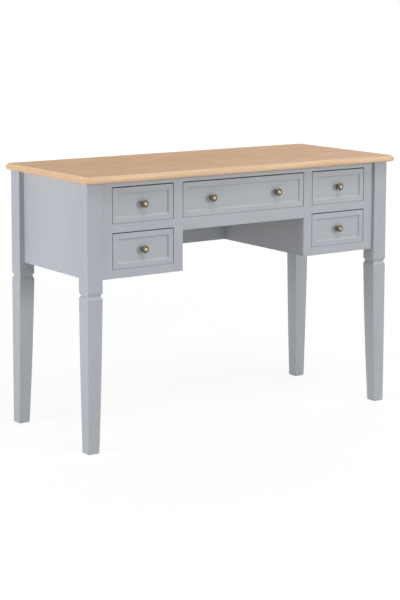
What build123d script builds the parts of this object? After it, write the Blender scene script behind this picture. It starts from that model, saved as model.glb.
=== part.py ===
from build123d import *
import math
import os

# A writing desk with five drawers, in millimetres.
# X runs to the right, Y to the back and Z up; the origin is on the floor under the middle of the top.

# Table top
desk_height = 750.0
top_width = 1074.0
top_depth = 457.0
top_thickness = 18.0
top_flat_corner = 7.0       # corner radius of the flat inside the moulded edge
edge_band = 9.5             # width of the moulded edge
edge_step = 1.0             # fine step between the flat and the moulding
edge_flat_under = 2.5       # flat part of the moulding's underside; the rest is rounded
overhang_side = 15.5
overhang_front = 24.5
overhang_back = 13.5

# Legs
leg_section = 47.0
leg_foot = 34.0             # section at the floor
leg_bow = 1.2               # how much fuller than straight the taper is, half way down
leg_arris = 1.5             # rounding of the long edges
taper_steps = 3             # sections that the curved taper is drawn through, after the first
foot_chamfer = 1.5
notch_drop = 32.5           # from the underside of the case to the upper edge of the notch
notch_height = 17.0
notch_depth = 4.0

# Face frame, as seen from the front
frame_setback = 8.0         # behind the legs' front faces
frame_thickness = 20.0
top_rail_height = 15.4
opening_height = 99.4
middle_rail_height = 24.1
bottom_rail_height = 24.0
centre_rail_height = 34.0
outer_stile_width = 35.0
inner_stile_width = 30.0
kneehole_width = 424.0
tongue_share = 0.35         # length of a tongue as a share of the wood it enters
tongue_core = 0.35          # thickness of a tongue as a share of the frame's
tongue_shoulder = 3.0       # left at each edge of a tongue

# Panels
panel_thickness = 15.0
panel_setback = 16.0        # behind the legs' outer faces
panel_housing = 6.0         # depth of the grooves that hold the panels in the legs
back_thickness = 9.0
back_setback = 5.0          # inside the legs' rear faces
divider_thickness = 16.0
divider_setback = 5.0       # from the kneehole edge of the inner stile

# Runners and top cleats
runner_thickness = 22.0     # below the drawer
guide_height = 12.0         # upright edge beside the drawer
guide_clearance = 0.8
slide_clearance = 0.3

# Drawers
front_gap_side = 1.6
front_gap_top = 3.0
front_gap_bottom = 0.4
front_thickness = 20.0
front_arris = 1.0
front_border = 14.5
front_bevel = 3.6           # width of the sloped edge of the recessed panel
front_recess = 3.6
side_thickness = 12.0
side_drop = 14.7            # from the top of the opening to the drawer sides
side_stop_gap = 0.5         # between the drawer sides and the back panel
bottom_thickness = 5.0
bottom_raise = 9.0          # from the lower edge of the sides to the bottom
groove_share = 0.5          # depth of the bottom's grooves as a share of the side's thickness
back_board_thickness = 12.0
back_board_inset = 10.0     # from the rear ends of the sides
housing_share = 0.33        # depth of the back's housings as a share of the side's thickness
tail_count = 3
tail_lap = 7.0              # wood left in front of the dovetails
tail_share = 0.54           # width of a dovetail at its root as a share of their spacing
tail_slope = 6.0            # one in this much

# Knobs
knob_radius = 11.0
knob_projection = 19.5
knob_rim_thickness = 2.6
knob_dome = 5.5
knob_rim_round = 0.6
knob_bead = 1.6             # width of the ring between the rim and the dome
knob_bead_step = 0.5        # how far that ring drops towards the dome
knob_base_radius = 7.5
knob_base_thickness = 2.2
knob_base_chamfer = 1.0
knob_neck_radius = 4.6
knob_spacing = 227.0        # between the two knobs of the wide drawer
knob_screw_radius = 2.0
knob_screw_grip = 8.0       # length held in the knob
knob_screw_play = 0.1
knob_hole_spare = 1.0       # hole in the knob beyond the screw's end
knob_screw_head_radius = 4.0
knob_screw_head_height = 2.6
knob_screw_head_round = 0.6 # rounding of the head as a share of its height
knob_hole_radius = 2.5

# Screws that hold the top
top_screw_radius = 2.0
top_screw_head_radius = 4.0
top_screw_bite = 0.6         # length in the top as a share of its thickness
top_screw_end_distance = 55.0

# Places that follow from the sizes above
top_underside = desk_height - top_thickness
case_half_width = top_width / 2 - overhang_side
case_front = -top_depth / 2 + overhang_front
case_back = top_depth / 2 - overhang_back
leg_inner_x = case_half_width - leg_section
leg_inner_front = case_front + leg_section
leg_inner_back = case_back - leg_section

upper_opening_top = top_underside - top_rail_height
upper_opening_bottom = upper_opening_top - opening_height
lower_opening_top = upper_opening_bottom - middle_rail_height
lower_opening_bottom = lower_opening_top - opening_height
case_bottom = lower_opening_bottom - bottom_rail_height

frame_front = case_front + frame_setback
frame_rear = frame_front + frame_thickness
kneehole_half = kneehole_width / 2
pedestal_opening_inner = kneehole_half + inner_stile_width
pedestal_opening_outer = leg_inner_x - outer_stile_width

back_rear = case_back - back_setback
back_face = back_rear - back_thickness
divider_kneehole_face = kneehole_half + divider_setback
divider_pedestal_face = divider_kneehole_face + divider_thickness

front_rear = frame_front + front_thickness
recess_face = frame_front + front_recess
side_rear = back_face - side_stop_gap
side_height = opening_height - side_drop - slide_clearance
bottom_groove = side_thickness * groove_share
back_board_housing = side_thickness * housing_share


def board(x0, x1, y0, y1, z0, z1):
    """A plain board between two opposite corners."""
    centre = Pos((x0 + x1) / 2, (y0 + y1) / 2, (z0 + z1) / 2)
    return centre * Box(abs(x1 - x0), abs(y1 - y0), abs(z1 - z0))


def mirrored(shape):
    """The same piece on the other side of the desk."""
    return mirror(shape, Plane.YZ)


def facing_front(x, y, z):
    """A plane at a point, looking to the front, with X to the right and Z up on it."""
    return Plane(origin=(x, y, z), x_dir=(1, 0, 0), z_dir=(0, -1, 0))


# Table top

def make_table_top():
    """A flat board with the edge moulding carried round its rounded corners."""
    flat_width = top_width - 2 * edge_band
    flat_depth = top_depth - 2 * edge_band
    core = extrude(RectangleRounded(flat_width, flat_depth, top_flat_corner), top_thickness)

    # Section of the moulding: out from the flat's edge and up from the underside.
    shoulder = top_thickness - edge_step
    under_round = edge_band - edge_flat_under
    nose_height = shoulder - under_round
    section = make_face(
        [
            Line((0, 0), (edge_flat_under, 0)),
            CenterArc((edge_flat_under, under_round), under_round, -90, 90),
            EllipticalCenterArc((0, under_round), edge_band, nose_height, 0, arc_size=90),
            Line((0, shoulder), (0, 0)),
        ]
    )
    path = RectangleRounded(flat_width, flat_depth, top_flat_corner).face().outer_wire()
    start = path @ 0
    along = path % 0
    upward = Vector(0, 0, 1)
    outward = along.cross(upward)
    if outward.dot(start) < 0:
        outward = -outward
    across = Plane(origin=start, x_dir=outward, z_dir=outward.cross(upward))
    moulding = sweep(across * section, path=path)
    return Pos(0, 0, top_underside) * (core + moulding)


# Legs

def leg_square(low, high, z):
    """A square with eased corners, between two distances from the leg's outer faces."""
    size = high - low
    middle = (low + high) / 2
    return Pos(middle, middle, z) * RectangleRounded(size, size, leg_arris)


def make_leg():
    """One leg with its outer corner on the Z axis: post, notch, and a taper on the two inner faces."""
    notch_top = case_bottom - notch_drop
    notch_middle = notch_top - notch_height / 2
    notch_bottom = notch_top - notch_height
    post = extrude(leg_square(0, leg_section, notch_top), top_underside - notch_top)
    waist = leg_square(notch_depth, leg_section - notch_depth, notch_middle)
    upper_slope = loft([leg_square(0, leg_section, notch_top), waist])
    lower_slope = loft([waist, leg_square(0, leg_section, notch_bottom)])

    sections = []
    for step in range(taper_steps + 1):
        share = step / taper_steps
        straight = leg_section + (leg_foot - leg_section) * share
        size = straight + leg_bow * 4 * share * (1 - share)
        sections.append(leg_square(0, size, notch_bottom + (foot_chamfer - notch_bottom) * share))
    shank = loft(sections)
    toe = loft([sections[-1], leg_square(foot_chamfer, leg_foot - foot_chamfer, 0)])
    return post + upper_slope + lower_slope + shank + toe


# Drawers

def dovetails(x0, x1, z0):
    """The dovetails on the front end of a drawer side, flared towards the front."""
    tails = []
    pitch = side_height / tail_count
    root = pitch * tail_share / 2
    tip = frame_front + tail_lap
    flare = (front_rear - tip) / tail_slope
    for number in range(tail_count):
        middle = z0 + pitch * (number + 0.5)
        outline = Polyline(
            (front_rear, middle - root),
            (tip, middle - root - flare),
            (tip, middle + root + flare),
            (front_rear, middle + root),
            close=True,
        )
        tails.append(extrude(Plane.YZ.offset(x0) * make_face(outline), x1 - x0))
    return tails


def make_front(x0, x1, z0, z1):
    """A drawer front with eased edges and a recessed panel inside a sloped edge."""
    middle_x = (x0 + x1) / 2
    middle_z = (z0 + z1) / 2
    front = board(x0, x1, frame_front, front_rear, z0, z1)
    front = fillet(front.faces().sort_by(Axis.Y)[0].edges(), front_arris)
    mouth_width = x1 - x0 - 2 * front_border
    mouth_height = z1 - z0 - 2 * front_border
    mouth = facing_front(middle_x, frame_front, middle_z) * Rectangle(mouth_width, mouth_height)
    floor = facing_front(middle_x, recess_face, middle_z) * Rectangle(
        mouth_width - 2 * front_bevel, mouth_height - 2 * front_bevel
    )
    return front - loft([mouth, floor])


def make_knob():
    """A turned knob standing on the XY plane: base, waisted neck, rimmed head, dome and a screw hole."""
    rim_front = knob_projection - knob_dome
    rim_back = rim_front - knob_rim_thickness
    rim_inner = knob_radius - knob_rim_round
    dome_edge = knob_radius - knob_bead
    dome_foot = rim_front - knob_bead_step
    dome_height = knob_projection - dome_foot
    dome_sphere = (dome_edge**2 + dome_height**2) / (2 * dome_height)
    dome_centre = knob_projection - dome_sphere
    dome_start = math.degrees(math.asin((dome_foot - dome_centre) / dome_sphere))
    base_inner = knob_base_radius - knob_base_chamfer
    base_shoulder = knob_base_thickness - knob_base_chamfer
    neck_height = (knob_base_thickness + rim_back) / 2
    section = make_face(
        [
            Line((0, 0), (knob_base_radius, 0)),
            Line((knob_base_radius, 0), (knob_base_radius, base_shoulder)),
            Line((knob_base_radius, base_shoulder), (base_inner, knob_base_thickness)),
            ThreePointArc(
                (base_inner, knob_base_thickness), (knob_neck_radius, neck_height), (rim_inner, rim_back)
            ),
            ThreePointArc(
                (rim_inner, rim_back), (knob_radius, (rim_back + rim_front) / 2), (rim_inner, rim_front)
            ),
            Line((rim_inner, rim_front), (dome_edge, dome_foot)),
            CenterArc((0, dome_centre), dome_sphere, dome_start, 90 - dome_start),
            Line((0, knob_projection), (0, 0)),
        ]
    )
    body = revolve(Plane.XZ * section, Axis.Z)
    hole = extrude(Circle(knob_screw_radius + knob_screw_play), knob_screw_grip + knob_hole_spare)
    return body - hole


def make_knob_screw():
    """A pan-head screw along Z, its head's underside at the inner face of the drawer front."""
    through = front_thickness - front_recess
    shank = extrude(Circle(knob_screw_radius), through + knob_screw_grip)
    head = extrude(Circle(knob_screw_head_radius), -knob_screw_head_height)
    head = fillet(head.faces().sort_by(Axis.Z)[0].edges(), knob_screw_head_height * knob_screw_head_round)
    return shank + head


def make_drawer(name, opening_left, opening_right, opening_bottom, knob_places):
    """All the pieces of one drawer, closed."""
    x0 = opening_left + front_gap_side
    x1 = opening_right - front_gap_side
    front_bottom = opening_bottom + front_gap_bottom
    front_top = opening_bottom + opening_height - front_gap_top
    side_bottom = opening_bottom + slide_clearance
    side_top = side_bottom + side_height
    inner_left = x0 + side_thickness
    inner_right = x1 - side_thickness

    floor_bottom = side_bottom + bottom_raise
    floor_top = floor_bottom + bottom_thickness
    back_board_rear = side_rear - back_board_inset
    floor_board = board(
        inner_left - bottom_groove,
        inner_right + bottom_groove,
        front_rear - bottom_groove,
        back_board_rear,
        floor_bottom,
        floor_top,
    )
    back_board = board(
        inner_left - back_board_housing,
        inner_right + back_board_housing,
        back_board_rear - back_board_thickness,
        back_board_rear,
        floor_top,
        side_top,
    )

    front = make_front(x0, x1, front_bottom, front_top) - floor_board
    sides = {}
    for hand, outer, inner in (("left", x0, inner_left), ("right", inner_right, x1)):
        tails = dovetails(outer, inner, side_bottom)
        side = board(outer, inner, front_rear, side_rear, side_bottom, side_top)
        for tail in tails:
            side = side + tail
            front = front - tail
        sides[hand] = side - floor_board - back_board

    knobs = []
    screws = []
    middle_z = (front_bottom + front_top) / 2
    for place in knob_places:
        knob_x = (x0 + x1) / 2 + place
        inside = facing_front(knob_x, front_rear, middle_z)
        front = front - inside * extrude(Circle(knob_hole_radius), front_thickness)
        knobs.append(facing_front(knob_x, recess_face, middle_z) * make_knob())
        screws.append(inside * make_knob_screw())

    return {
        name + "_drawer_front": front,
        name + "_drawer_side_left": sides["left"],
        name + "_drawer_side_right": sides["right"],
        name + "_drawer_back": back_board,
        name + "_drawer_bottom": floor_board,
        name + "_drawer_knob": Compound(children=knobs),
        name + "_drawer_knob_screw": Compound(children=screws),
    }


# Runners and cleats

def make_runner(fixed_x, side_outer_x, ledge_top):
    """A rebated runner: a ledge under the drawer side and an upright edge beside it."""
    inward = math.copysign(1, side_outer_x - fixed_x)
    guide_x = side_outer_x - inward * guide_clearance
    ledge_x = side_outer_x + inward * side_thickness
    outline = Polyline(
        (fixed_x, ledge_top - runner_thickness),
        (ledge_x, ledge_top - runner_thickness),
        (ledge_x, ledge_top),
        (guide_x, ledge_top),
        (guide_x, ledge_top + guide_height),
        (fixed_x, ledge_top + guide_height),
        close=True,
    )
    length = back_face - frame_rear
    return extrude(facing_front(0, back_face, 0) * make_face(outline), length)


def make_cleat(fixed_x, side_outer_x):
    """A strip under the top, over one drawer side."""
    inward = math.copysign(1, side_outer_x - fixed_x)
    ledge_x = side_outer_x + inward * side_thickness
    return board(fixed_x, ledge_x, frame_rear, back_face, upper_opening_top, top_underside)


def make_top_screw(x, y):
    """A countersunk wood screw, its head level with the underside of the cleat."""
    taper = top_screw_head_radius - top_screw_radius
    length = top_rail_height + top_thickness * top_screw_bite
    outline = Polyline(
        (0, 0),
        (top_screw_head_radius, 0),
        (top_screw_radius, taper),
        (top_screw_radius, length - 2 * top_screw_radius),
        (0, length),
        close=True,
    )
    return Pos(x, y, upper_opening_top) * revolve(Plane.XZ * make_face(outline), Axis.Z)


# Face frame

def frame_piece(x0, x1, z0, z1):
    """A rail or stile between the frame's two faces."""
    return board(x0, x1, frame_front, frame_rear, z0, z1)


def tongue(x0, x1, z0, z1):
    """A strip in the middle of the frame's thickness; what sticks out of a piece is its tongue."""
    middle = (frame_front + frame_rear) / 2
    half = frame_thickness * tongue_core / 2
    return board(x0, x1, middle - half, middle + half, z0, z1)


def rail_tongue(x0, x1, z0, z1, left_reach, right_reach):
    """The tongues at the two ends of a rail, as one strip."""
    return tongue(x0 - left_reach, x1 + right_reach, z0 + tongue_shoulder, z1 - tongue_shoulder)


def stile_tongue(x0, x1):
    """The tongue on the upper end of a stile."""
    top = upper_opening_top + top_rail_height * tongue_share
    return tongue(x0 + tongue_shoulder, x1 - tongue_shoulder, case_bottom + tongue_shoulder, top)


# Put the case together, left half first

pieces = {}
pieces["table_top"] = make_table_top()

side_panel = board(
    -case_half_width + panel_setback,
    -case_half_width + panel_setback + panel_thickness,
    leg_inner_front - panel_housing,
    leg_inner_back + panel_housing,
    case_bottom,
    top_underside,
)
back_half = leg_inner_x + panel_housing
back_panel = board(-back_half, back_half, back_face, back_rear, case_bottom, top_underside)

# The face frame: the strips of the tongues first, then the pieces that carry them and are cut for them
outer_span = (-leg_inner_x, -pedestal_opening_outer)
inner_span = (-pedestal_opening_inner, -kneehole_half)
pedestal_span = (-pedestal_opening_outer, -pedestal_opening_inner)
centre_span = (-kneehole_half, kneehole_half)
case_span = (-leg_inner_x, leg_inner_x)
middle_level = (lower_opening_top, upper_opening_bottom)
bottom_level = (case_bottom, lower_opening_bottom)
centre_level = (upper_opening_bottom - centre_rail_height, upper_opening_bottom)
top_level = (upper_opening_top, top_underside)
stile_level = (case_bottom, upper_opening_top)

outer_reach = outer_stile_width * tongue_share
inner_reach = inner_stile_width * tongue_share
leg_reach = leg_section * tongue_share
middle_tongue = rail_tongue(*pedestal_span, *middle_level, outer_reach, inner_reach)
bottom_tongue = rail_tongue(*pedestal_span, *bottom_level, outer_reach, inner_reach)
centre_tongue = rail_tongue(*centre_span, *centre_level, inner_reach, inner_reach)
top_tongue = rail_tongue(*case_span, *top_level, leg_reach, leg_reach)
outer_tongue = stile_tongue(*outer_span)
inner_tongue = stile_tongue(*inner_span)

outer_stile = frame_piece(*outer_span, *stile_level) + outer_tongue - middle_tongue - bottom_tongue
inner_stile = frame_piece(*inner_span, *stile_level) + inner_tongue - middle_tongue - bottom_tongue
inner_stile = inner_stile - centre_tongue
top_rail = frame_piece(*case_span, *top_level) + top_tongue
for stile in (outer_tongue, inner_tongue):
    top_rail = top_rail - stile - mirrored(stile)

leg = make_leg()
front_leg = Pos(-case_half_width, case_front, 0) * leg - side_panel - top_tongue
back_leg = Pos(-case_half_width, case_back, 0) * mirror(leg, Plane.XZ) - side_panel - back_panel
left_half = {
    "leg_front": front_leg,
    "leg_back": back_leg,
    "side_panel": side_panel,
    "divider": board(
        -divider_pedestal_face, -divider_kneehole_face, frame_rear, back_face, case_bottom, top_underside
    ),
    "outer_stile": outer_stile,
    "inner_stile": inner_stile,
    "middle_rail": frame_piece(*pedestal_span, *middle_level) + middle_tongue,
    "bottom_rail": frame_piece(*pedestal_span, *bottom_level) + bottom_tongue,
}
for name, shape in left_half.items():
    pieces[name + "_left"] = shape
    pieces[name + "_right"] = mirrored(shape)
pieces["back_panel"] = back_panel
pieces["top_rail"] = top_rail
pieces["centre_rail"] = frame_piece(*centre_span, *centre_level) + centre_tongue

# Runners: where each is fixed, and the outer face of the drawer side that it carries

outer_side = pedestal_opening_outer - front_gap_side
inner_side = pedestal_opening_inner + front_gap_side
centre_side = kneehole_half - front_gap_side
pedestal_runners = []
for level in (upper_opening_bottom, lower_opening_bottom):
    pedestal_runners.append(make_runner(-leg_inner_x, -outer_side, level))
    pedestal_runners.append(make_runner(-divider_pedestal_face, -inner_side, level))
centre_runner = make_runner(-divider_kneehole_face, -centre_side, upper_opening_bottom)
pieces["runners_left"] = Compound(children=pedestal_runners)
pieces["runners_right"] = Compound(children=[mirrored(runner) for runner in pedestal_runners])
pieces["runners_centre"] = Compound(children=[centre_runner, mirrored(centre_runner)])

# Cleats over the upper drawers, each with two screws up into the top

cleats = []
top_screws = []
for fixed_x, side_x in (
    (-leg_inner_x, -outer_side),
    (-divider_pedestal_face, -inner_side),
    (-divider_kneehole_face, -centre_side),
):
    strip = make_cleat(fixed_x, side_x)
    screw_x = strip.center().X
    for screw_y in (frame_rear + top_screw_end_distance, back_face - top_screw_end_distance):
        screw = make_top_screw(screw_x, screw_y)
        strip = strip - screw
        top_screws += [screw, mirrored(screw)]
    cleats += [strip, mirrored(strip)]
for screw in top_screws:
    pieces["table_top"] = pieces["table_top"] - screw
pieces["top_cleats"] = Compound(children=cleats)
pieces["top_screws"] = Compound(children=top_screws)

# The five drawers

left_opening = (-pedestal_opening_outer, -pedestal_opening_inner)
right_opening = (pedestal_opening_inner, pedestal_opening_outer)
centre_opening = (-kneehole_half, kneehole_half)
for name, opening, bottom, knob_places in (
    ("upper_left", left_opening, upper_opening_bottom, [0]),
    ("lower_left", left_opening, lower_opening_bottom, [0]),
    ("centre", centre_opening, upper_opening_bottom, [-knob_spacing / 2, knob_spacing / 2]),
    ("upper_right", right_opening, upper_opening_bottom, [0]),
    ("lower_right", right_opening, lower_opening_bottom, [0]),
):
    pieces.update(make_drawer(name, opening[0], opening[1], bottom, knob_places))

os.makedirs("parts", exist_ok=True)
for name, shape in pieces.items():
    export_step(shape, "parts/" + name + ".step")
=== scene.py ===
import math

import bpy
import numpy as np
from mathutils import Matrix, Vector


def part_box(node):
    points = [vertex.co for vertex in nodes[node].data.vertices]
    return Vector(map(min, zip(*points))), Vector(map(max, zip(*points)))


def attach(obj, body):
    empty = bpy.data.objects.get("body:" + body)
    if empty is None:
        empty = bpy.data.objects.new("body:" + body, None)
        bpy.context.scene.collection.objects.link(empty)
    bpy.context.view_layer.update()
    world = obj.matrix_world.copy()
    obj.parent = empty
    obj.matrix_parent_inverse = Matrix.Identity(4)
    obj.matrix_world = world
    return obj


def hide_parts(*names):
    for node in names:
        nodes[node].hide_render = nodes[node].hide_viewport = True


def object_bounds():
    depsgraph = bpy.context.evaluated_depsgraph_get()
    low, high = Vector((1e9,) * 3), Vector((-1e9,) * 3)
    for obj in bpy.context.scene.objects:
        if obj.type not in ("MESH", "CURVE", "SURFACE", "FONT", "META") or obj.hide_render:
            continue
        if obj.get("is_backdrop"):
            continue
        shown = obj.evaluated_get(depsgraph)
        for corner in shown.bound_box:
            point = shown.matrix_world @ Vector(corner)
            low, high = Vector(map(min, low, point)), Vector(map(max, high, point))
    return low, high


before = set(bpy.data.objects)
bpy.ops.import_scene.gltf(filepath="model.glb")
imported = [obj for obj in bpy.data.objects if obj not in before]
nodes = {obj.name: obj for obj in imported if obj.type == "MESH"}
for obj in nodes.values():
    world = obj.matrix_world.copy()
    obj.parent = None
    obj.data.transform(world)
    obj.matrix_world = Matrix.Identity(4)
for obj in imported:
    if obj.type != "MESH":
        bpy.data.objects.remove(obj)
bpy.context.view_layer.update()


# Legs
# Four square hardwood posts that run from the floor to the top, notched all round below the case and tapered
# below that. Each is brushed along its length with a cool grey eggshell paint that has a soft, even sheen.

paint_pale = (0.438, 0.457, 0.482, 1.0)
paint_deep = (0.400, 0.419, 0.445, 1.0)
# The next colour is a painted highlight, laid on the eased edges and on the faces that look up
paint_highlight = (0.520, 0.540, 0.565, 1.0)
paint_edge_radius = 0.0009
paint_edge_highlight = 0.5
paint_upward_highlight = (0.3, 0.7)       # how far a face looks up where its painted highlight starts and where it is full
paint_roughness = (0.42, 0.54)
paint_relief = 0.00006
paint_relief_strength = 0.5

# Marks of the brush to the metre, along it and across it, and their shares in the paint's height and tone
stroke_fineness = (5.0, 130.0, 130.0)
bristle_fineness = (18.0, 900.0, 900.0)
skin_fineness = (320.0, 320.0, 320.0)
cloud_fineness = (2.2, 5.0, 5.0)
bristle_height = 0.35
skin_height = 0.3
stroke_tone = 0.4
tone_span = (0.45, 0.95)
noise_span = (0.3, 0.7)             # where nearly all values of one noise lie
edge_agreement = (0.995, 0.85)      # of a rolled and a flat normal, where an eased edge starts and is full

axis_turns = {
    "x": (0.0, 0.0, 0.0),
    "y": (0.0, 0.0, math.radians(-90)),
    "z": (0.0, math.radians(90), 0.0),
}


def place(tree, kind, inputs=None, **settings):
    """One shader node; inputs gives each input, by name or place, a number, a colour or a socket to link."""
    node = tree.nodes.new("ShaderNode" + kind)
    for name, value in settings.items():
        setattr(node, name, value)
    for name, value in (inputs or {}).items():
        if isinstance(value, bpy.types.NodeSocket):
            tree.links.new(value, node.inputs[name])
        else:
            node.inputs[name].default_value = value
    return node


def reckon(tree, operation, first, second=0.0):
    """The socket of one sum on numbers."""
    return place(tree, "Math", {0: first, 1: second}, operation=operation).outputs["Value"]


def spread(tree, value, low, high, first=0.0, last=1.0):
    """The socket of a number carried smoothly from the span low to high onto the span first to last."""
    limits = {"Value": value, "From Min": low, "From Max": high, "To Min": first, "To Max": last}
    return place(tree, "MapRange", limits, interpolation_type="SMOOTHSTEP").outputs["Result"]


def tint(tree, share, first, second):
    """The socket of a colour between two colours."""
    return place(tree, "Mix", {0: share, 6: first, 7: second}, data_type="RGBA").outputs[2]


def stretched_noise(tree, vector, fineness, detail, roughness=0.5):
    """The socket of a noise whose grain has its own fineness along each axis, in marks to the metre."""
    scaled = place(tree, "VectorMath", {0: vector, 1: fineness}, operation="MULTIPLY")
    inputs = {"Vector": scaled.outputs["Vector"], "Scale": 1.0, "Detail": detail, "Roughness": roughness}
    return place(tree, "TexNoise", inputs).outputs["Fac"]


def start_group(name, inputs, outputs):
    """An empty node group with its named sockets: the group, what comes in and what goes out."""
    group = bpy.data.node_groups.new(name, "ShaderNodeTree")
    for label, kind in inputs:
        group.interface.new_socket(label, in_out="INPUT", socket_type="NodeSocket" + kind)
    for label, kind in outputs:
        group.interface.new_socket(label, in_out="OUTPUT", socket_type="NodeSocket" + kind)
    entry = group.nodes.new("NodeGroupInput")
    result = group.nodes.new("NodeGroupOutput")
    return group, entry.outputs, result.inputs


# Edges that a sander has eased: the normal rolls over them, and a mask says where they are.
eased_edges, given, wanted = start_group(
    "eased edges", [("Radius", "Float")], [("Normal", "Vector"), ("Edge", "Float")]
)
rolled = place(eased_edges, "Bevel", {"Radius": given["Radius"]}, samples=6).outputs["Normal"]
flat = place(eased_edges, "NewGeometry").outputs["Normal"]
agreement = place(eased_edges, "VectorMath", {0: rolled, 1: flat}, operation="DOT_PRODUCT").outputs["Value"]
eased_edges.links.new(rolled, wanted["Normal"])
eased_edges.links.new(spread(eased_edges, agreement, *edge_agreement), wanted["Edge"])

# Paint laid on with a brush along X: strokes, the lines of the bristles, and the skin between them.
brush_marks, given, wanted = start_group(
    "brush marks", [("Vector", "Vector")], [("Height", "Float"), ("Tone", "Float"), ("Gloss", "Float")]
)
strokes = stretched_noise(brush_marks, given["Vector"], stroke_fineness, 3.0)
bristles = stretched_noise(brush_marks, given["Vector"], bristle_fineness, 2.0)
skin = stretched_noise(brush_marks, given["Vector"], skin_fineness, 2.0)
clouds = stretched_noise(brush_marks, given["Vector"], cloud_fineness, 2.0)
lines = reckon(brush_marks, "ADD", reckon(brush_marks, "MULTIPLY", bristles, bristle_height), strokes)
raised = reckon(brush_marks, "ADD", lines, reckon(brush_marks, "MULTIPLY", skin, skin_height))
tone = reckon(brush_marks, "ADD", reckon(brush_marks, "MULTIPLY", strokes, stroke_tone), clouds)
brush_marks.links.new(raised, wanted["Height"])
brush_marks.links.new(spread(brush_marks, tone, *tone_span), wanted["Tone"])
brush_marks.links.new(spread(brush_marks, skin, *noise_span), wanted["Gloss"])


def start_material(name):
    """An empty node material with its Principled shader."""
    material = bpy.data.materials.new(name)
    material.use_nodes = True
    tree = material.node_tree
    tree.nodes.clear()
    shader = place(tree, "BsdfPrincipled")
    place(tree, "OutputMaterial", {"Surface": shader.outputs["BSDF"]})
    return material, tree, shader


def along_axis(tree, axis, shift=(0.0, 0.0, 0.0)):
    """The socket of the piece's own coordinates, turned so that X runs along the given axis of the desk."""
    where = place(tree, "TexCoord")
    moved = {"Vector": where.outputs["Object"], "Rotation": axis_turns[axis], "Location": shift}
    return place(tree, "Mapping", moved).outputs["Vector"]


def emboss(tree, shader, height, distance, strength, normal):
    """Raises a material's surface by a distance in metres where a height is 1, on top of a normal."""
    inputs = {"Height": height, "Distance": distance, "Strength": strength, "Normal": normal}
    relief = place(tree, "Bump", inputs)
    tree.links.new(relief.outputs["Normal"], shader.inputs["Normal"])


def painted_wood(name, axis):
    """Grey paint brushed along one axis, a shade deeper between the strokes, with a painted highlight that
    makes the eased edges and the slopes that look up paler."""
    material, tree, shader = start_material(name)
    marks = place(tree, "Group", {"Vector": along_axis(tree, axis)}, node_tree=brush_marks).outputs
    edges = place(tree, "Group", {"Radius": paint_edge_radius}, node_tree=eased_edges).outputs
    ground = tint(tree, marks["Tone"], paint_deep, paint_pale)
    facing = place(tree, "SeparateXYZ", {"Vector": place(tree, "TexCoord").outputs["Normal"]}).outputs
    # Painted highlight: the eased edges and the faces that look up are tinted towards the pale colour
    edge_highlight_share = reckon(tree, "MULTIPLY", edges["Edge"], paint_edge_highlight)
    rubbing_and_painted_highlight = reckon(tree, "MAXIMUM", edge_highlight_share, spread(tree, facing["Z"], *paint_upward_highlight))
    tree.links.new(tint(tree, rubbing_and_painted_highlight, ground, paint_highlight), shader.inputs["Base Color"])
    tree.links.new(spread(tree, marks["Gloss"], 0.0, 1.0, *paint_roughness), shader.inputs["Roughness"])
    emboss(tree, shader, marks["Height"], paint_relief, paint_relief_strength, edges["Normal"])
    return material


def dress(material, *names):
    """Puts one material on CAD nodes, in every slot that they have."""
    for name in names:
        for slot in nodes[name].material_slots:
            slot.link = "OBJECT"
            slot.material = material


paint_upright = painted_wood("grey paint, upright", "z")
dress(paint_upright, "leg_front_left", "leg_front_right", "leg_back_left", "leg_back_right")


# Side panels, dividers and back
# Flat painted boards: the sides and the back sit in grooves in the legs, and the dividers close the
# pedestals towards the kneehole. They are painted as the legs are, the back along its length.

dress(paint_upright, "side_panel_left", "side_panel_right", "divider_left", "divider_right")
paint_level = painted_wood("grey paint, level", "x")
dress(paint_level, "back_panel")


# Face frame
# Rails and stiles of painted hardwood, tongued into one another and into the front legs, flush with each
# other and a little behind the legs.

for side in ("left", "right"):
    dress(paint_upright, "outer_stile_" + side, "inner_stile_" + side)
    dress(paint_level, "middle_rail_" + side, "bottom_rail_" + side)
dress(paint_level, "top_rail", "centre_rail")


# Runners and cleats
# Rebated strips of plain hardwood, left bare, glued to the legs and dividers. The drawers slide on the
# runners, and the cleats above keep a pulled drawer from tipping and hold the top.

runner_pale = (0.640, 0.475, 0.300, 1.0)
runner_dark = (0.490, 0.325, 0.180, 1.0)
bare_rings = 260.0                  # growth rings to the metre
bare_lean = 0.10
bare_edge_radius = 0.0007
bare_ring_share = 0.45
bare_fibre_share = 0.35
bare_roughness = (0.62, 0.76)
bare_relief = 0.0002
bare_relief_strength = 0.35

# Where boards lie in the log, in metres: how far apart along and across it, and how far from its heart
log_shift_along = 9.0
log_shift_across = 3.0
heart_aside = 0.12
heart_sway = 0.05
heart_depth = 0.03
heart_depth_spread = 0.05

# Grain in marks to the metre, along it and across it, and what becomes of it
sway_fineness = (1.3, 7.0, 7.0)
waver_fineness = (4.0, 60.0, 60.0)
fibre_fineness = (9.0, 420.0, 420.0)
pore_fineness = (55.0, 1500.0, 1500.0)
ring_waver = 2.4                    # in rings
ring_opening = (0.0, 0.12)          # shares of a ring's width
ring_closing = (0.25, 0.95)
pore_span = (0.58, 0.72)
pore_ring_span = (0.1, 0.8)
pore_least = 0.25
joint_reach = (0.0007, 0.0001)

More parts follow.
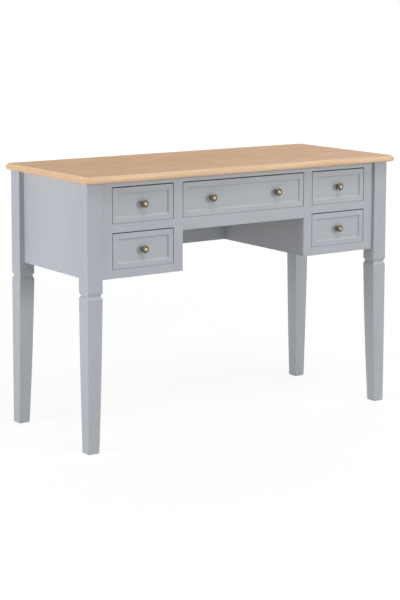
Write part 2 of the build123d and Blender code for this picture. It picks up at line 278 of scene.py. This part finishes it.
# Sawn timber with its grain along X: a leaning log's growth rings, cut into boards side by side, with pores
# and fibres.
timber, given, wanted = start_group(
    "timber",
    [("Vector", "Vector"), ("Board", "Float"), ("Rings", "Float"), ("Lean", "Float")],
    [("Ring", "Float"), ("Fibre", "Float"), ("Pore", "Float"), ("Tone", "Float"), ("Joint", "Float")],
)
parts = place(timber, "SeparateXYZ", {"Vector": given["Vector"]}).outputs
across = reckon(timber, "DIVIDE", parts["Y"], given["Board"])
number = reckon(timber, "FLOOR", across)
inside = reckon(timber, "FRACT", across)
chance = place(timber, "TexWhiteNoise", {"W": number}, noise_dimensions="1D")
luck = place(timber, "SeparateColor", {"Color": chance.outputs["Color"]}).outputs
luck_along = reckon(timber, "MULTIPLY", luck["Red"], log_shift_along)
luck_across = reckon(timber, "MULTIPLY", luck["Green"], log_shift_across)
shifted = place(
    timber,
    "CombineXYZ",
    {
        "X": reckon(timber, "ADD", parts["X"], luck_along),
        "Y": parts["Y"],
        "Z": reckon(timber, "ADD", parts["Z"], luck_across),
    },
).outputs["Vector"]
sway = reckon(timber, "SUBTRACT", stretched_noise(timber, shifted, sway_fineness, 2.0), 0.5)
waver = reckon(timber, "SUBTRACT", stretched_noise(timber, shifted, waver_fineness, 3.0), 0.5)
middle = reckon(timber, "MULTIPLY", reckon(timber, "SUBTRACT", inside, 0.5), given["Board"])
aside = reckon(timber, "MULTIPLY", reckon(timber, "SUBTRACT", luck["Blue"], 0.5), heart_aside)
swayed = reckon(timber, "MULTIPLY", sway, heart_sway)
bowed = reckon(timber, "ADD", reckon(timber, "ADD", middle, aside), swayed)
tilt = reckon(timber, "MULTIPLY", reckon(timber, "SUBTRACT", luck["Red"], 0.5), given["Lean"])
deep = reckon(timber, "ADD", reckon(timber, "MULTIPLY", luck["Green"], heart_depth_spread), heart_depth)
sloped = reckon(timber, "MULTIPLY", parts["X"], tilt)
depth = reckon(timber, "ADD", reckon(timber, "ADD", deep, sloped), parts["Z"])
square = reckon(timber, "ADD", reckon(timber, "POWER", bowed, 2.0), reckon(timber, "POWER", depth, 2.0))
turns = reckon(timber, "MULTIPLY", reckon(timber, "SQRT", square), given["Rings"])
wavered = reckon(timber, "ADD", turns, reckon(timber, "MULTIPLY", waver, ring_waver))
growth = reckon(timber, "FRACT", wavered)
opening = spread(timber, growth, *ring_opening)
closing = spread(timber, growth, *ring_closing, 1.0, 0.0)
ring = reckon(timber, "MULTIPLY", opening, closing)
fibre = stretched_noise(timber, shifted, fibre_fineness, 3.0, 0.6)
pore = spread(timber, stretched_noise(timber, shifted, pore_fineness, 1.0), *pore_span)
open_pore = reckon(timber, "MULTIPLY", pore, spread(timber, ring, *pore_ring_span, pore_least, 1.0))
nearer_side = reckon(timber, "MINIMUM", inside, reckon(timber, "SUBTRACT", 1.0, inside))
from_side = reckon(timber, "MULTIPLY", nearer_side, given["Board"])
timber.links.new(ring, wanted["Ring"])
timber.links.new(spread(timber, fibre, *noise_span), wanted["Fibre"])
timber.links.new(open_pore, wanted["Pore"])
timber.links.new(luck["Blue"], wanted["Tone"])
timber.links.new(spread(timber, from_side, *joint_reach), wanted["Joint"])


def cut_timber(tree, axis, shift, board, rings, lean):
    """The sockets of timber with its grain along one axis of the desk, in boards of one width."""
    inputs = {"Vector": along_axis(tree, axis, shift), "Board": board, "Rings": rings, "Lean": lean}
    return place(tree, "Group", inputs, node_tree=timber).outputs


def bare_wood(name, axis, pale, dark, shift, board):
    """Sanded wood with no finish, its grain along one axis of the desk."""
    material, tree, shader = start_material(name)
    grain = cut_timber(tree, axis, shift, board, bare_rings, bare_lean)
    edges = place(tree, "Group", {"Radius": bare_edge_radius}, node_tree=eased_edges).outputs
    streak = reckon(tree, "MULTIPLY", grain["Ring"], bare_ring_share)
    share = reckon(tree, "ADD", streak, reckon(tree, "MULTIPLY", grain["Fibre"], bare_fibre_share))
    tree.links.new(tint(tree, share, pale, dark), shader.inputs["Base Color"])
    tree.links.new(spread(tree, grain["Fibre"], 0.0, 1.0, *bare_roughness), shader.inputs["Roughness"])
    emboss(tree, shader, grain["Fibre"], bare_relief, bare_relief_strength, edges["Normal"])
    return material


runner_wood = bare_wood("runner wood", "y", runner_pale, runner_dark, shift=(0.0, 0.37, 0.11), board=0.9)
dress(runner_wood, "runners_left", "runners_right", "runners_centre", "top_cleats")


# Drawers
# Painted fronts with a panel sunk inside a sloped edge, lap-dovetailed to bare hardwood sides. The back
# stands in housings between the sides, over a thin bottom that slides into grooves.

drawer_names = ("upper_left", "lower_left", "centre", "upper_right", "lower_right")
box_pale = (0.680, 0.520, 0.345, 1.0)
box_dark = (0.540, 0.375, 0.215, 1.0)
bottom_pale = (0.700, 0.560, 0.390, 1.0)
bottom_dark = (0.580, 0.420, 0.255, 1.0)

side_wood = bare_wood("drawer side wood", "y", box_pale, box_dark, shift=(0.0, 0.21, 0.05), board=0.8)
back_wood = bare_wood("drawer back wood", "x", box_pale, box_dark, shift=(0.3, 0.45, 0.02), board=0.8)
bottom_wood = bare_wood(
    "drawer bottom wood", "x", bottom_pale, bottom_dark, shift=(0.1, 0.6, 0.0), board=0.19
)
for name in drawer_names:
    dress(paint_level, name + "_drawer_front")
    dress(side_wood, name + "_drawer_side_left", name + "_drawer_side_right")
    dress(back_wood, name + "_drawer_back")
    dress(bottom_wood, name + "_drawer_bottom")


# Table top
# Oak staves glued edge to edge into one board, its edge moulded to a fine step and a round nose. It is
# finished with a clear matt lacquer that leaves the pores just open. The arris and the nose carry a painted
# highlight that makes them paler.

oak_pale = (0.770, 0.502, 0.318, 1.0)
oak_dark = (0.594, 0.366, 0.213, 1.0)
oak_pore = (0.400, 0.240, 0.125, 1.0)
oak_joint = (0.520, 0.330, 0.180, 1.0)
# The next two colours are painted highlights, on the nose and on the arris
oak_nose_highlight = (0.950, 0.660, 0.415, 1.0)
oak_arris_highlight = (1.0, 0.900, 0.760, 1.0)
oak_rings = 180.0
oak_lean = 0.05
oak_ring_share = 0.26
oak_fibre_share = 0.28
oak_stave_share = 0.22
oak_pore_share = 0.50
oak_joint_share = 0.5
oak_roughness = (0.52, 0.64)
oak_specular = 0.04
oak_relief = 0.0001
oak_relief_strength = 0.5
stave_count = 5
arris_width = 0.0026

# The nose's painted highlight, in metres below the top's face, and how it changes at the ends, in metres
# from the ends
nose_top = 0.0008
nose_fade = 0.0180
nose_low_share = 0.55
nose_streaks = (4.0, 120.0, 120.0)
nose_streak_span = (0.35, 0.65)
nose_streak_least = 0.55
end_reach = 0.0190
end_fade = 0.0070
end_high_share = 1.3
end_low_share = 0.22

top_low, top_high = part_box("table_top")
stave_width = (top_high[1] - top_low[1]) / stave_count

oak, tree, shader = start_material("oak, clear matt lacquer")
grain = cut_timber(tree, "x", (0.0, -top_low[1], 0.0), stave_width, oak_rings, oak_lean)
edges = place(tree, "Group", {"Radius": arris_width}, node_tree=eased_edges).outputs
streak = reckon(tree, "MULTIPLY", grain["Ring"], oak_ring_share)
fibres = reckon(tree, "MULTIPLY", grain["Fibre"], oak_fibre_share)
stave = reckon(tree, "MULTIPLY", grain["Tone"], oak_stave_share)
share = reckon(tree, "ADD", reckon(tree, "ADD", streak, fibres), stave)
ground = tint(tree, share, oak_pale, oak_dark)
pored = tint(tree, reckon(tree, "MULTIPLY", grain["Pore"], oak_pore_share), ground, oak_pore)
jointed = tint(tree, reckon(tree, "MULTIPLY", grain["Joint"], oak_joint_share), pored, oak_joint)
where = place(tree, "TexCoord").outputs["Object"]
spot = place(tree, "SeparateXYZ", {"Vector": where}).outputs
below = reckon(tree, "SUBTRACT", top_high[2], spot["Z"])
from_end = reckon(tree, "SUBTRACT", top_high[0], reckon(tree, "ABSOLUTE", spot["X"]))
# Painted highlight on the nose: palest near its top and streaked with the grain. At the ends it is brighter
# at the top and fainter low down. A paler painted highlight lies on the arris
on_nose = spread(tree, below, nose_top / 2, nose_top)
rounded = reckon(tree, "MULTIPLY", on_nose, spread(tree, below, nose_top, nose_fade, 1.0, nose_low_share))
streaks = stretched_noise(tree, where, nose_streaks, 2.0)
streaked = spread(tree, streaks, *nose_streak_span, nose_streak_least, 1.0)
end_tone = spread(tree, below, nose_top, end_fade, end_high_share, end_low_share)
nose_highlight_at_ends = spread(tree, from_end, end_reach / 2, end_reach, end_tone, 1.0)
paler = reckon(tree, "MULTIPLY", reckon(tree, "MULTIPLY", rounded, streaked), nose_highlight_at_ends)
nosed = tint(tree, paler, jointed, oak_nose_highlight)
arris_highlight_mask = reckon(tree, "MULTIPLY", edges["Edge"], spread(tree, below, nose_top, nose_top * 3, 1.0, 0.0))
tree.links.new(tint(tree, arris_highlight_mask, nosed, oak_arris_highlight), shader.inputs["Base Color"])
tree.links.new(spread(tree, grain["Fibre"], 0.0, 1.0, *oak_roughness), shader.inputs["Roughness"])
shader.inputs["Specular IOR Level"].default_value = oak_specular
filled = reckon(tree, "SUBTRACT", 1.0, reckon(tree, "MAXIMUM", grain["Pore"], grain["Joint"]))
emboss(tree, shader, filled, oak_relief, oak_relief_strength, edges["Normal"])
dress(oak, "table_top")


# Knobs
# Small mushrooms turned from brass bar: a beaded base, a waisted neck, and a rimmed head with a domed face.
# The brass has aged dark in the hollows and is rubbed bright where fingers touch the dome.

knob_base = 0.0075
knob_base_height = 0.0022
knob_collar_inset = 0.0009
knob_collar_share = 0.62            # its height as a share of the base's
knob_foot_inset = 0.0014
knob_waist = 0.0046
knob_waist_share = 0.45             # how far up the neck the waist is
knob_flare_power = 2.4
knob_rim_height = 0.0026
knob_rim_round = 0.0008
knob_dome_height = 0.0055
knob_ring = 0.0040
knob_ring_depth = 0.0008
knob_sides = 96
knob_steps = 25                     # points along the neck, and along the dome
knob_round_steps = 13               # points along the bead, and along the rim
knob_ring_steps = 9
sharp_angle = math.radians(40)

# How bright each part is rubbed, from 0 to 1
base_rubbing = 0.18
waist_rubbing = 0.04
rim_rubbing = 0.30
rim_crest_rubbing = 0.25
ring_rubbing = 0.36
ring_hollow_loss = 0.16
dome_edge_rubbing = 0.20
dome_gain = 1.2

brass_dark = (0.096, 0.077, 0.055, 1.0)
brass_bright = (0.465, 0.382, 0.262, 1.0)
brass_spot = (0.050, 0.040, 0.026, 1.0)
brass_span = (0.05, 0.95)
brass_roughness = (0.46, 0.27)
patina_fineness = (420.0, 420.0, 420.0)
patina_share = 0.35
speck_span = (0.64, 0.74)
speck_share = 0.6


def turned(radius, height, sides, spots, facing, sink=None):
    """Turned pieces on axes along Y, one at each spot (x, y, z): every point of the profile, a radius and a
    height along the axis, goes round a full circle. Facing is -1 where the heights grow to the front and 1
    to the back. Sink is a depth taken off the heights, for each profile point and side. The profile starts
    and ends on the axis, where each end is closed by a fan. Gives the points and the faces."""
    ring_count = len(radius) - 2
    angle = np.arange(sides) * 2 * np.pi / sides
    across = radius[1:-1, None] * np.cos(angle)
    along = np.broadcast_to(height[1:-1, None], across.shape)
    if sink is not None:
        along = along - sink
    upward = -facing * radius[1:-1, None] * np.sin(angle)
    rings = np.stack([across, facing * along, upward], axis=-1).reshape(-1, 3)
    first_pole = np.array([[0.0, facing * height[0], 0.0]])
    last_height = along[-1].mean() if sink is not None else height[-1]
    last_pole = np.array([[0.0, facing * last_height, 0.0]])
    shape = np.concatenate([first_pole, rings, last_pole])

    ring, side = np.meshgrid(np.arange(ring_count - 1), np.arange(sides), indexing="ij")
    here = 1 + ring * sides + side
    beside = 1 + ring * sides + (side + 1) % sides
    walls = np.stack([here, beside, beside + sides, here + sides], axis=-1).reshape(-1, 4)
    start = 1 + np.arange(sides)
    start_next = 1 + (np.arange(sides) + 1) % sides
    final = (ring_count - 1) * sides
    first_fan = np.stack([np.zeros(sides, int), start_next, start], axis=-1)
    last_fan = np.stack([start + final, start_next + final, np.full(sides, len(shape) - 1)], axis=-1)

    points = []
    faces = []
    for number, spot in enumerate(spots):
        points.append(shape + np.array(spot))
        for group in (walls, first_fan, last_fan):
            faces += (group + number * len(shape)).tolist()
    return np.concatenate(points), faces


def axis_spots(low, high, radius, y):
    """The spots on the axes of a node's round pieces: one, or one at each end where the node is wider."""
    middle_z = (low[2] + high[2]) / 2
    spots = [(low[0] + radius, y, middle_z)]
    if high[0] - low[0] > 3 * radius:
        spots.append((high[0] - radius, y, middle_z))
    return spots


def add_piece(name, points, faces, material, body, slot, *replaced):
    """A new piece at the origin that rides on a body, takes a material and stands for CAD nodes. The slot is
    not used.
    """
    mesh = bpy.data.meshes.new(name)
    mesh.from_pydata(points.tolist(), [], faces)
    mesh.shade_smooth()
    mesh.set_sharp_from_angle(angle=sharp_angle)
    mesh.materials.append(material)
    piece = bpy.data.objects.new(name, mesh)
    bpy.context.scene.collection.objects.link(piece)
    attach(piece, body)
    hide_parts(*replaced)
    return piece


def knob_profile(knob_radius, knob_length):
    """Radius, height and rubbing along a knob, from the middle of its base to the top of its dome: half a
    circle on the bead of the base, a neck that narrows as a square and flares as a power, half an ellipse on
    the rim, a shallow sine on the hollow ring inside it, and an arc of a circle on the dome."""
    run = np.linspace(0.0, 1.0, knob_steps)
    turn = np.linspace(-0.5, 0.5, knob_round_steps) * np.pi
    rim_low = knob_length - knob_dome_height - knob_rim_height
    rim_high = knob_length - knob_dome_height
    bead = knob_base_height / 4
    bead_r = knob_base - bead + bead * np.cos(turn)
    base_r = np.concatenate([[0.0, knob_base - bead], bead_r, [knob_base - knob_collar_inset]])
    base_h = np.concatenate([[0.0, 0.0], bead + bead * np.sin(turn), [knob_base_height * knob_collar_share]])

    neck_low = knob_base_height
    foot_r = knob_base - knob_foot_inset
    head_r = knob_radius - knob_rim_round
    to_waist = np.clip(1 - run / knob_waist_share, 0, 1)
    past_waist = np.clip((run - knob_waist_share) / (1 - knob_waist_share), 0, 1)
    narrowing = (foot_r - knob_waist) * to_waist**2
    flare = (head_r - knob_waist) * past_waist**knob_flare_power
    neck_r = knob_waist + narrowing + flare
    neck_h = neck_low + run * (rim_low - neck_low)

    rim_middle = (rim_low + rim_high) / 2
    rim_r = head_r + knob_rim_round * np.cos(turn)
    rim_h = rim_middle + knob_rim_height / 2 * np.sin(turn)

    hollow = np.linspace(0.0, 1.0, knob_ring_steps)[1:-1]
    dome_edge = head_r - knob_ring
    ring_r = head_r - knob_ring * hollow
    ring_h = rim_high - knob_ring_depth * np.sin(np.pi * hollow)

    rise = knob_length - rim_high
    ball = (dome_edge**2 + rise**2) / (2 * rise)
    dome_r = dome_edge * np.cos(run * np.pi / 2)
    dome_h = knob_length - ball + np.sqrt(ball**2 - dome_r**2)

    radius = np.concatenate([base_r, neck_r, rim_r, ring_r, dome_r])
    height = np.concatenate([base_h, neck_h, rim_h, ring_h, dome_h])
    rubbing = np.concatenate(
        [
            np.full(len(base_r), base_rubbing),
            waist_rubbing + (base_rubbing - waist_rubbing) * run**3,
            rim_rubbing + rim_crest_rubbing * np.cos(turn),
            ring_rubbing - ring_hollow_loss * np.sin(np.pi * hollow),
            np.clip(dome_edge_rubbing + dome_gain * run, 0, 1),
        ]
    )
    radius[-1] = 0.0
    return radius, height, rubbing


brass, tree, shader = start_material("aged brass")
where = place(tree, "TexCoord").outputs["Object"]
rubbing_and_painted_highlight = place(tree, "Attribute", attribute_name="rubbing_and_painted_highlight").outputs["Fac"]
patina = stretched_noise(tree, where, patina_fineness, 4.0, 0.6)
blotches = reckon(tree, "MULTIPLY", reckon(tree, "SUBTRACT", patina, 0.5), patina_share)
uneven = reckon(tree, "ADD", rubbing_and_painted_highlight, blotches)
aged = tint(tree, spread(tree, uneven, *brass_span), brass_dark, brass_bright)
specks = spread(tree, patina, *speck_span, 0.0, speck_share)
tree.links.new(tint(tree, specks, aged, brass_spot), shader.inputs["Base Color"])
tree.links.new(spread(tree, uneven, 0.0, 1.0, *brass_roughness), shader.inputs["Roughness"])
shader.inputs["Metallic"].default_value = 1.0
for name in drawer_names:
    node = name + "_drawer_knob"
    low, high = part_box(node)
    knob_radius = (high[2] - low[2]) / 2
    spots = axis_spots(low, high, knob_radius, high[1])
    radius, height, rubbing = knob_profile(knob_radius, high[1] - low[1])
    points, faces = turned(radius, height, knob_sides, spots, -1)
    knob = add_piece(name + "_knob", points, faces, brass, name + "_drawer", "antique_brass", node)
    inner = np.repeat(rubbing[1:-1], knob_sides)
    one_knob = np.concatenate([rubbing[:1], inner, rubbing[-1:]])
    values = np.tile(one_knob, len(spots)).astype(np.float32)
    knob.data.attributes.new("rubbing_and_painted_highlight", "FLOAT", "POINT").data.foreach_set("value", values)


# Screws
# Zinc-plated steel: pan-head machine screws with a cross recess hold the knobs from inside the drawers, and
# countersunk wood screws go up through the cleats into the top.

screw_head_radius = 0.0040
screw_head_height = 0.0026
screw_crown_drop = 0.0007
screw_corner_drop = 0.0008
screw_corner_power = 12
screw_under_share = 0.97            # radius under the head as a share of the head's
screw_under_height = 0.0001
screw_shank_radius = 0.0020
screw_tip_share = 0.7               # radius of the tip as a share of the shank's
screw_tip_height = 0.0006
screw_sides = 96
screw_crown_steps = 40
cross_reach = 0.0023
cross_half_width = 0.00055
cross_depth = 0.0014
cross_ramp = 0.0002
steel_pale = (0.60, 0.60, 0.61, 1.0)
steel_dull = (0.42, 0.42, 0.44, 1.0)
steel_fineness = (400.0, 400.0, 400.0)
steel_roughness = (0.28, 0.42)


def screw_profile(length):
    """Radius and height along a screw, from the middle of its tip to the middle of its head: straight lines
    on the shank and under the head, then a crown that falls from the middle as the square of the radius, and
    by a high power of it at the rim."""
    shank_top = length - screw_head_height
    crown = np.linspace(1.0, 0.0, screw_crown_steps)
    crown_r = screw_head_radius * crown
    crown_h = length - screw_crown_drop * crown**2 - screw_corner_drop * crown**screw_corner_power
    shank_r = np.array([0.0, screw_tip_share, 1.0, 1.0, 1.0]) * screw_shank_radius
    shank_h = np.array([0.0, 0.0, screw_tip_height, shank_top / 2, shank_top])
    under_r = np.array([screw_under_share, 1.0]) * screw_head_radius
    under_h = np.array([shank_top, shank_top + screw_under_height])
    return np.concatenate([shank_r, under_r, crown_r]), np.concatenate([shank_h, under_h, crown_h])


def cross_recess(radius, height, sides, length):
    """Depth of the cross recess at each profile point and side: two crossed bars with sloping walls."""
    angle = np.arange(sides) * 2 * np.pi / sides
    first = np.abs(radius[1:-1, None] * np.cos(angle))
    second = np.abs(radius[1:-1, None] * np.sin(angle))

    def bar(narrow, long):
        """1 inside a bar, falling to 0 over its ramps."""
        side_wall = np.clip((cross_half_width - narrow) / cross_ramp + 0.5, 0, 1)
        end_wall = np.clip((cross_reach - long) / (2 * cross_ramp) + 0.5, 0, 1)
        return side_wall * end_wall

    on_crown = height[1:-1, None] > length - screw_head_height / 2
    return cross_depth * np.maximum(bar(first, second), bar(second, first)) * on_crown


steel, tree, shader = start_material("zinc-plated steel")
where = place(tree, "TexCoord").outputs["Object"]
cloudy = stretched_noise(tree, where, steel_fineness, 3.0)
tree.links.new(tint(tree, cloudy, steel_dull, steel_pale), shader.inputs["Base Color"])
tree.links.new(spread(tree, cloudy, *noise_span, *steel_roughness), shader.inputs["Roughness"])
shader.inputs["Metallic"].default_value = 1.0
dress(steel, "top_screws")
for name in drawer_names:
    node = name + "_drawer_knob_screw"
    low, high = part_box(node)
    length = high[1] - low[1]
    spots = axis_spots(low, high, screw_head_radius, low[1])
    radius, height = screw_profile(length)
    sink = cross_recess(radius, height, screw_sides, length)
    points, faces = turned(radius, height, screw_sides, spots, 1, sink)
    add_piece(name + "_knob_screw", points, faces, steel, name + "_drawer", "steel", node)


# Floor and light
# A pale studio floor without an edge in view, under a white sky and large soft lamps. The camera sees floor
# and sky as white, and the floor keeps a faint shadow of the desk.

white = (1.0, 1.0, 1.0, 1.0)
floor_reach = 30.0
floor_colour = (0.87, 0.89, 0.93, 1.0)
floor_glow = 1.05                   # of the white that the camera sees in place of the floor
near_whiteness = 0.84               # share of that white close to the desk, where the shadow lies
shadow_reach = 4.5
sky_colour = (0.98, 0.99, 1.0, 1.0)
sky_strength = 0.27
cool_lamp = (0.98, 0.99, 1.0)
plain_lamp = (0.99, 0.995, 1.0)
desk_middle = Vector((0.0, 0.0, 0.5))

corner = np.array([-1.0, 1.0]) * floor_reach
across_floor, along_floor = np.meshgrid(corner, corner)
floor_points = np.stack([across_floor, along_floor, np.zeros_like(across_floor)], axis=-1).reshape(-1, 3)
floor_mesh = bpy.data.meshes.new("floor")
floor_mesh.from_pydata(floor_points.tolist(), [], [(0, 1, 3, 2)])
floor = bpy.data.objects.new("floor", floor_mesh)
bpy.context.scene.collection.objects.link(floor)
floor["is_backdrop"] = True


def seen_plainly(tree):
    """The socket that is 1 for what the camera sees, straight on, in metal or through glass."""
    ray = place(tree, "LightPath").outputs
    mirrored = reckon(tree, "MAXIMUM", ray["Is Glossy Ray"], ray["Is Transmission Ray"])
    return reckon(tree, "MAXIMUM", ray["Is Camera Ray"], mirrored)


floor_paint = bpy.data.materials.new("pale floor")
floor_paint.use_nodes = True
tree = floor_paint.node_tree
tree.nodes.clear()
matt = place(tree, "BsdfDiffuse", {"Color": floor_colour})
glow = place(tree, "Emission", {"Color": white, "Strength": floor_glow})
away = place(tree, "VectorMath", {0: place(tree, "TexCoord").outputs["Object"]}, operation="LENGTH")
whiteness = spread(tree, away.outputs["Value"], shadow_reach / 3, shadow_reach, near_whiteness, 1.0)
share = reckon(tree, "MULTIPLY", seen_plainly(tree), whiteness)
mixed = place(tree, "MixShader", {0: share, 1: matt.outputs["BSDF"], 2: glow.outputs["Emission"]})
place(tree, "OutputMaterial", {"Surface": mixed.outputs["Shader"]})
floor_mesh.materials.append(floor_paint)

sky = bpy.data.worlds.new("white sky")
bpy.context.scene.world = sky
sky.use_nodes = True
tree = sky.node_tree
tree.nodes.clear()
soft = place(tree, "Background", {"Color": sky_colour, "Strength": sky_strength}).outputs["Background"]
plain = place(tree, "Background", {"Color": white, "Strength": 1.0}).outputs["Background"]
mixed = place(tree, "MixShader", {0: seen_plainly(tree), 1: soft, 2: plain})
place(tree, "OutputWorld", {"Surface": mixed.outputs["Shader"]})

# Each lamp's name, place, width, power in watts and colour
for name, spot, size, power, colour in (
    ("left lamp", (-4.0, 0.0, 1.05), 0.9, 71.0, cool_lamp),
    ("right lamp", (12.8, -17.9, 5.0), 5.1, 1660.0, plain_lamp),
    ("high lamp", (-0.2, -3.6, 7.0), 3.0, 190.0, plain_lamp),
    ("back lamp", (3.2, 2.0, 3.0), 2.0, 45.0, plain_lamp),
):
    lamp = bpy.data.lights.new(name, "AREA")
    lamp.shape = "SQUARE"
    lamp.size = size
    lamp.energy = power
    lamp.color = colour
    lamp_object = bpy.data.objects.new(name, lamp)
    lamp_object.location = spot
    lamp_object.rotation_euler = (desk_middle - Vector(spot)).to_track_quat("-Z", "Y").to_euler()
    bpy.context.scene.collection.objects.link(lamp_object)


# Camera
# It stands off the left front corner, higher than the top, and looks down a little through a long lens whose
# frame is shifted down as well.

eye = Vector((-2.6602, -3.77425, 1.23206))
heading = math.radians(35.0)
pitch = math.radians(-7.148)
roll = math.radians(0.137)
lens_length = 95.816
sensor_width = 36.0
frame_shift = -0.18

ahead = Vector((math.sin(heading) * math.cos(pitch), math.cos(heading) * math.cos(pitch), math.sin(pitch)))
level = Vector((math.cos(heading), -math.sin(heading), 0.0))
upward = level.cross(ahead)
right = level * math.cos(roll) + upward * math.sin(roll)
up = upward * math.cos(roll) - level * math.sin(roll)
lens = bpy.data.cameras.new("camera")
lens.lens = lens_length
lens.sensor_width = sensor_width
lens.shift_y = frame_shift
camera = bpy.data.objects.new("camera", lens)
camera.matrix_world = Matrix.Translation(eye) @ Matrix((right, up, -ahead)).transposed().to_4x4()
bpy.context.scene.collection.objects.link(camera)
bpy.context.scene.camera = camera
bpy.context.scene.view_settings.view_transform = "Standard"

low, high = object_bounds()
